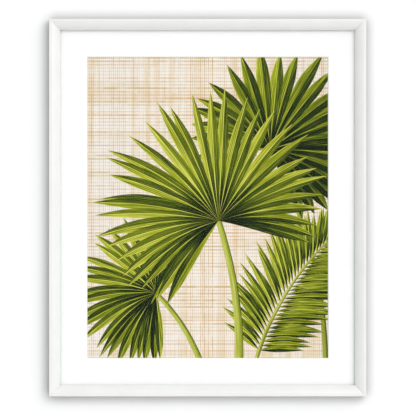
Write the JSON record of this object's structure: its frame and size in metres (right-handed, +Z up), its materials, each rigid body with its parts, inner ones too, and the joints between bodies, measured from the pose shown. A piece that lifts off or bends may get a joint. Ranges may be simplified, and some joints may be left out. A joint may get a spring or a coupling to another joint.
{
  "type": "framed art print",
  "caption": "White framed and matted art print of green palm leaves under glass, with turn buttons and a sawtooth hanger on its back, to hang on a wall.",
  "frame": {"origin": "the hanging point: the middle notch of the sawtooth hanger, on the plane of the wall", "axes": "+Z up along the picture's height, +X to the viewer's right, -Y out of the wall towards the viewer, so the picture faces -Y"},
  "size_m": [0.526, 0.024, 0.626],
  "materials": {
    "painted_wood": "satin white paint on a smooth wood moulding",
    "glass": "clear float glass with polished faces",
    "mat_board": "matt white board with a fine tooth",
    "print_paper": "matt art paper, printed with green leaves on cream",
    "linen_tape": "unbleached linen tape",
    "hardboard": "pressed brown fibre board",
    "plated_steel": "bright zinc plate",
    "screw_steel": "zinc plated",
    "brassed_steel": "thin brass plate on steel",
    "nail_steel": "bare drawn steel",
    "bumper_rubber": "soft grey rubber"
  },
  "bodies": {
    "picture": {"rail_top": "painted_wood", "rail_bottom": "painted_wood", "rail_left": "painted_wood", "rail_right": "painted_wood", "v_nail_top_left_outer": "nail_steel", "v_nail_top_left_inner": "nail_steel", "v_nail_top_right_outer": "nail_steel", "v_nail_top_right_inner": "nail_steel", "v_nail_bottom_right_outer": "nail_steel", "v_nail_bottom_right_inner": "nail_steel", "v_nail_bottom_left_outer": "nail_steel", "v_nail_bottom_left_inner": "nail_steel", "glazing": "glass", "mat_board": "mat_board", "art_print": "print_paper", "hinge_tape_left": "linen_tape", "hinge_tape_right": "linen_tape", "backing_board": "hardboard", "screw_top_left": "screw_steel", "screw_top_right": "screw_steel", "screw_right_upper": "screw_steel", "screw_right_lower": "screw_steel", "screw_bottom_right": "screw_steel", "screw_bottom_left": "screw_steel", "screw_left_lower": "screw_steel", "screw_left_upper": "screw_steel", "hanger": "brassed_steel", "hanger_nail_left": "nail_steel", "hanger_nail_right": "nail_steel", "bumper_left": "bumper_rubber", "bumper_right": "bumper_rubber"},
    "button_top_left": {"turn_button_top_left": "plated_steel"},
    "button_top_right": {"turn_button_top_right": "plated_steel"},
    "button_right_upper": {"turn_button_right_upper": "plated_steel"},
    "button_right_lower": {"turn_button_right_lower": "plated_steel"},
    "button_bottom_right": {"turn_button_bottom_right": "plated_steel"},
    "button_bottom_left": {"turn_button_bottom_left": "plated_steel"},
    "button_left_lower": {"turn_button_left_lower": "plated_steel"},
    "button_left_upper": {"turn_button_left_upper": "plated_steel"}
  },
  "joints": [
    {"name": "turn_top_left", "type": "hinge", "parent": "picture", "child": "button_top_left", "pos_m": [-0.15, -0.003, 0.003], "axis": [0, 1, 0], "continuous": true},
    {"name": "turn_top_right", "type": "hinge", "parent": "picture", "child": "button_top_right", "pos_m": [0.15, -0.003, 0.003], "axis": [0, 1, 0], "continuous": true},
    {"name": "turn_right_upper", "type": "hinge", "parent": "picture", "child": "button_right_upper", "pos_m": [0.257, -0.003, -0.124], "axis": [0, 1, 0], "continuous": true},
    {"name": "turn_right_lower", "type": "hinge", "parent": "picture", "child": "button_right_lower", "pos_m": [0.257, -0.003, -0.484], "axis": [0, 1, 0], "continuous": true},
    {"name": "turn_bottom_right", "type": "hinge", "parent": "picture", "child": "button_bottom_right", "pos_m": [0.15, -0.003, -0.611], "axis": [0, 1, 0], "continuous": true},
    {"name": "turn_bottom_left", "type": "hinge", "parent": "picture", "child": "button_bottom_left", "pos_m": [-0.15, -0.003, -0.611], "axis": [0, 1, 0], "continuous": true},
    {"name": "turn_left_lower", "type": "hinge", "parent": "picture", "child": "button_left_lower", "pos_m": [-0.257, -0.003, -0.484], "axis": [0, 1, 0], "continuous": true},
    {"name": "turn_left_upper", "type": "hinge", "parent": "picture", "child": "button_left_upper", "pos_m": [-0.257, -0.003, -0.124], "axis": [0, 1, 0], "continuous": true}
  ]
}
